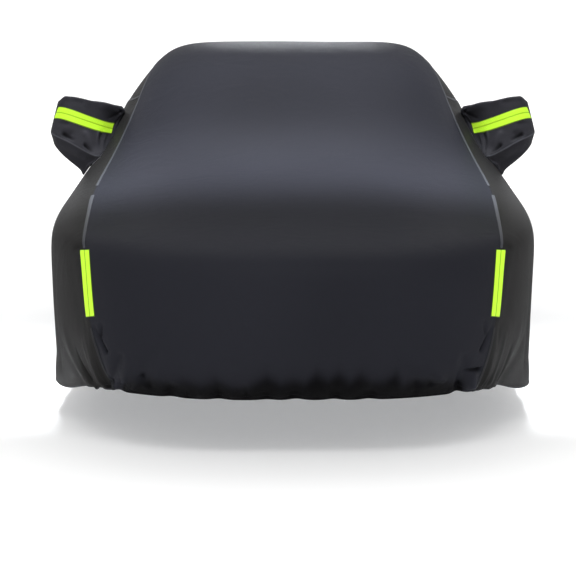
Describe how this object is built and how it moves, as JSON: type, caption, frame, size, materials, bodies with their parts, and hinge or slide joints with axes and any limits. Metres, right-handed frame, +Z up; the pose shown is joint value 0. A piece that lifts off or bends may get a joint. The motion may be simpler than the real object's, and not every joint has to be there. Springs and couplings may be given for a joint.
{
  "type": "car cover",
  "caption": "Fitted cloth cover draped over a saloon car's shape, with wing mirror pockets, bound seams and reflective strips.",
  "frame": {"origin": "underside of the roof cloth on the centre line, where the car's roof carries the cover", "axes": "+Z up, +Y towards the cover's rear, so its front looks along -Y, +X to the right seen from the front"},
  "size_m": [2.038, 4.7374, 1.3043],
  "materials": {
    "black_cloth": "satin coated polyester",
    "grey_binding": "woven tape",
    "lime_reflective": "reflective woven strip"
  },
  "bodies": {
    "root": {"centre_panel": "black_cloth", "side_panel_left": "black_cloth", "side_panel_right": "black_cloth", "mirror_pocket_left": "black_cloth", "mirror_pocket_right": "black_cloth", "mirror_strip_left": "lime_reflective", "mirror_strip_right": "lime_reflective", "corner_strip_left": "lime_reflective", "corner_strip_right": "lime_reflective", "bumper_binding_left": "grey_binding", "bumper_binding_right": "grey_binding", "bonnet_binding_left": "grey_binding", "bonnet_binding_right": "grey_binding", "roof_binding_left": "grey_binding", "roof_binding_right": "grey_binding"}
  },
  "joints": []
}
